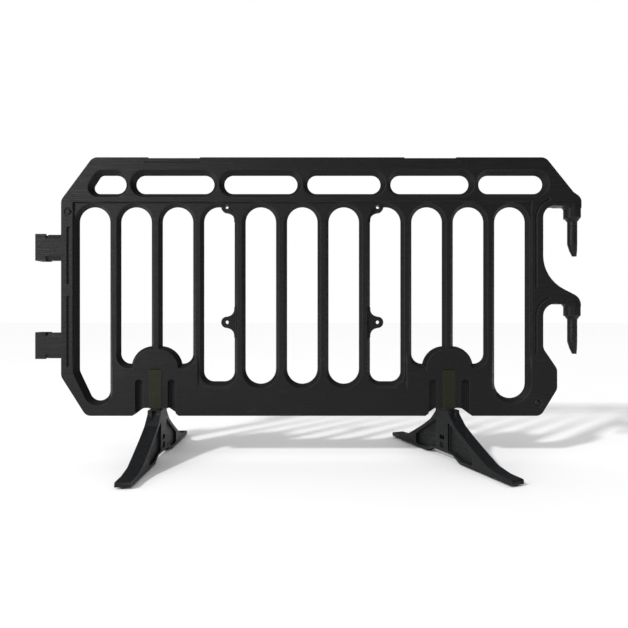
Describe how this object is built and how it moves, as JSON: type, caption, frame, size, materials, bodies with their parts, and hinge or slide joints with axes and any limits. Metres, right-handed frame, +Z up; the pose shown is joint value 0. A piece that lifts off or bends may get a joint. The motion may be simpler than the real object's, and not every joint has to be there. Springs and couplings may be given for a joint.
{
  "type": "crowd control barrier",
  "caption": "Interlocking moulded crowd-control barrier: slotted hollow panel with linking hooks and eyes, standing on swivelling low-profile feet.",
  "frame": {"origin": "on the ground under the middle of the whole barrier's box, the panel's parting plane at Y = 0", "axes": "+X along the panel from the linking eyes to the hooks, -Y the front, +Z up"},
  "size_m": [2.0044, 0.736, 1.104],
  "materials": {
    "panel_plastic": "satin moulded polyethylene, near black",
    "pin_plastic": "satin moulded plastic, near black",
    "block_plastic": "satin moulded plastic, very dark olive",
    "foot_plastic": "satin moulded plastic, near black",
    "pad_rubber": "matt black rubber",
    "zinc_steel": "zinc-plated steel",
    "washer_plastic": "natural nylon"
  },
  "bodies": {
    "panel": {"panel_body": "panel_plastic", "link_pin_upper": "pin_plastic", "link_pin_lower": "pin_plastic", "moulding_plug_upper": "pin_plastic", "moulding_plug_lower": "pin_plastic", "pivot_block_left": "block_plastic", "pivot_block_right": "block_plastic", "block_screws_left": "zinc_steel", "block_screws_right": "zinc_steel", "pivot_bolt_left": "zinc_steel", "pivot_bolt_right": "zinc_steel", "pivot_nut_left": "zinc_steel", "pivot_nut_right": "zinc_steel", "bolt_washer_left": "zinc_steel", "bolt_washer_right": "zinc_steel", "thrust_washer_left": "washer_plastic", "thrust_washer_right": "washer_plastic"},
    "foot_left": {"foot_left": "foot_plastic", "foot_pads_left": "pad_rubber"},
    "foot_right": {"foot_right": "foot_plastic", "foot_pads_right": "pad_rubber"}
  },
  "joints": [
    {"name": "foot_left_swivel", "type": "hinge", "parent": "panel", "child": "foot_left", "pos_m": [-0.5626, 0, 0.15], "axis": [0, 0, 1], "range_deg": [-90, 90]},
    {"name": "foot_right_swivel", "type": "hinge", "parent": "panel", "child": "foot_right", "pos_m": [0.5112, 0, 0.15], "axis": [0, 0, 1], "range_deg": [-111, 69]}
  ]
}
